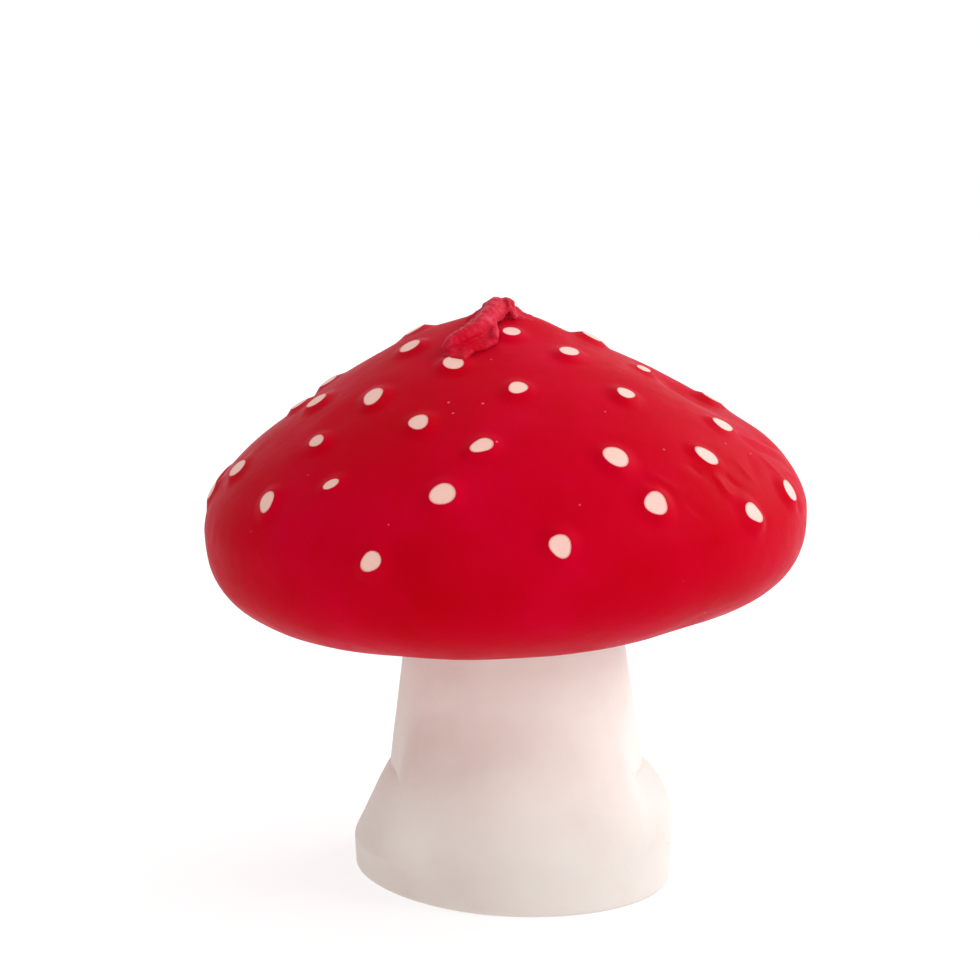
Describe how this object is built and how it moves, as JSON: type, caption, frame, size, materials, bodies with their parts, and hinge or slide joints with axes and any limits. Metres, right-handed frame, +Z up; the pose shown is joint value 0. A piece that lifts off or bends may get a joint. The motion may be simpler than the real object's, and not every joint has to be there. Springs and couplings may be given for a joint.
{
  "type": "mushroom-shaped candle",
  "caption": "Wax candle shaped like a fly agaric: white stem with a bulbous foot, red dipped cap with white spots, and a folded wick on the crown.",
  "frame": {"origin": "centre of the stem's flat base, on the surface that the candle stands on", "axes": "+Z up along the stem, -Y towards the front, where the wick's folded end points, +X to the right seen from the front"},
  "size_m": [0.1204, 0.1205, 0.1169],
  "materials": {
    "white_wax": "cast warm white candle wax, satin, faintly mottled, with small pits and scratches",
    "red_wax": "saturated red dipped wax, smooth satin with a soft sheen, finely wrinkled near the rim",
    "wick_cotton": "braided cotton stiffened with wax"
  },
  "bodies": {
    "root": {"stem": "white_wax", "cap_core": "white_wax", "cap_coat": "red_wax", "wick": "wick_cotton", "wick_coat": "red_wax"}
  },
  "joints": []
}
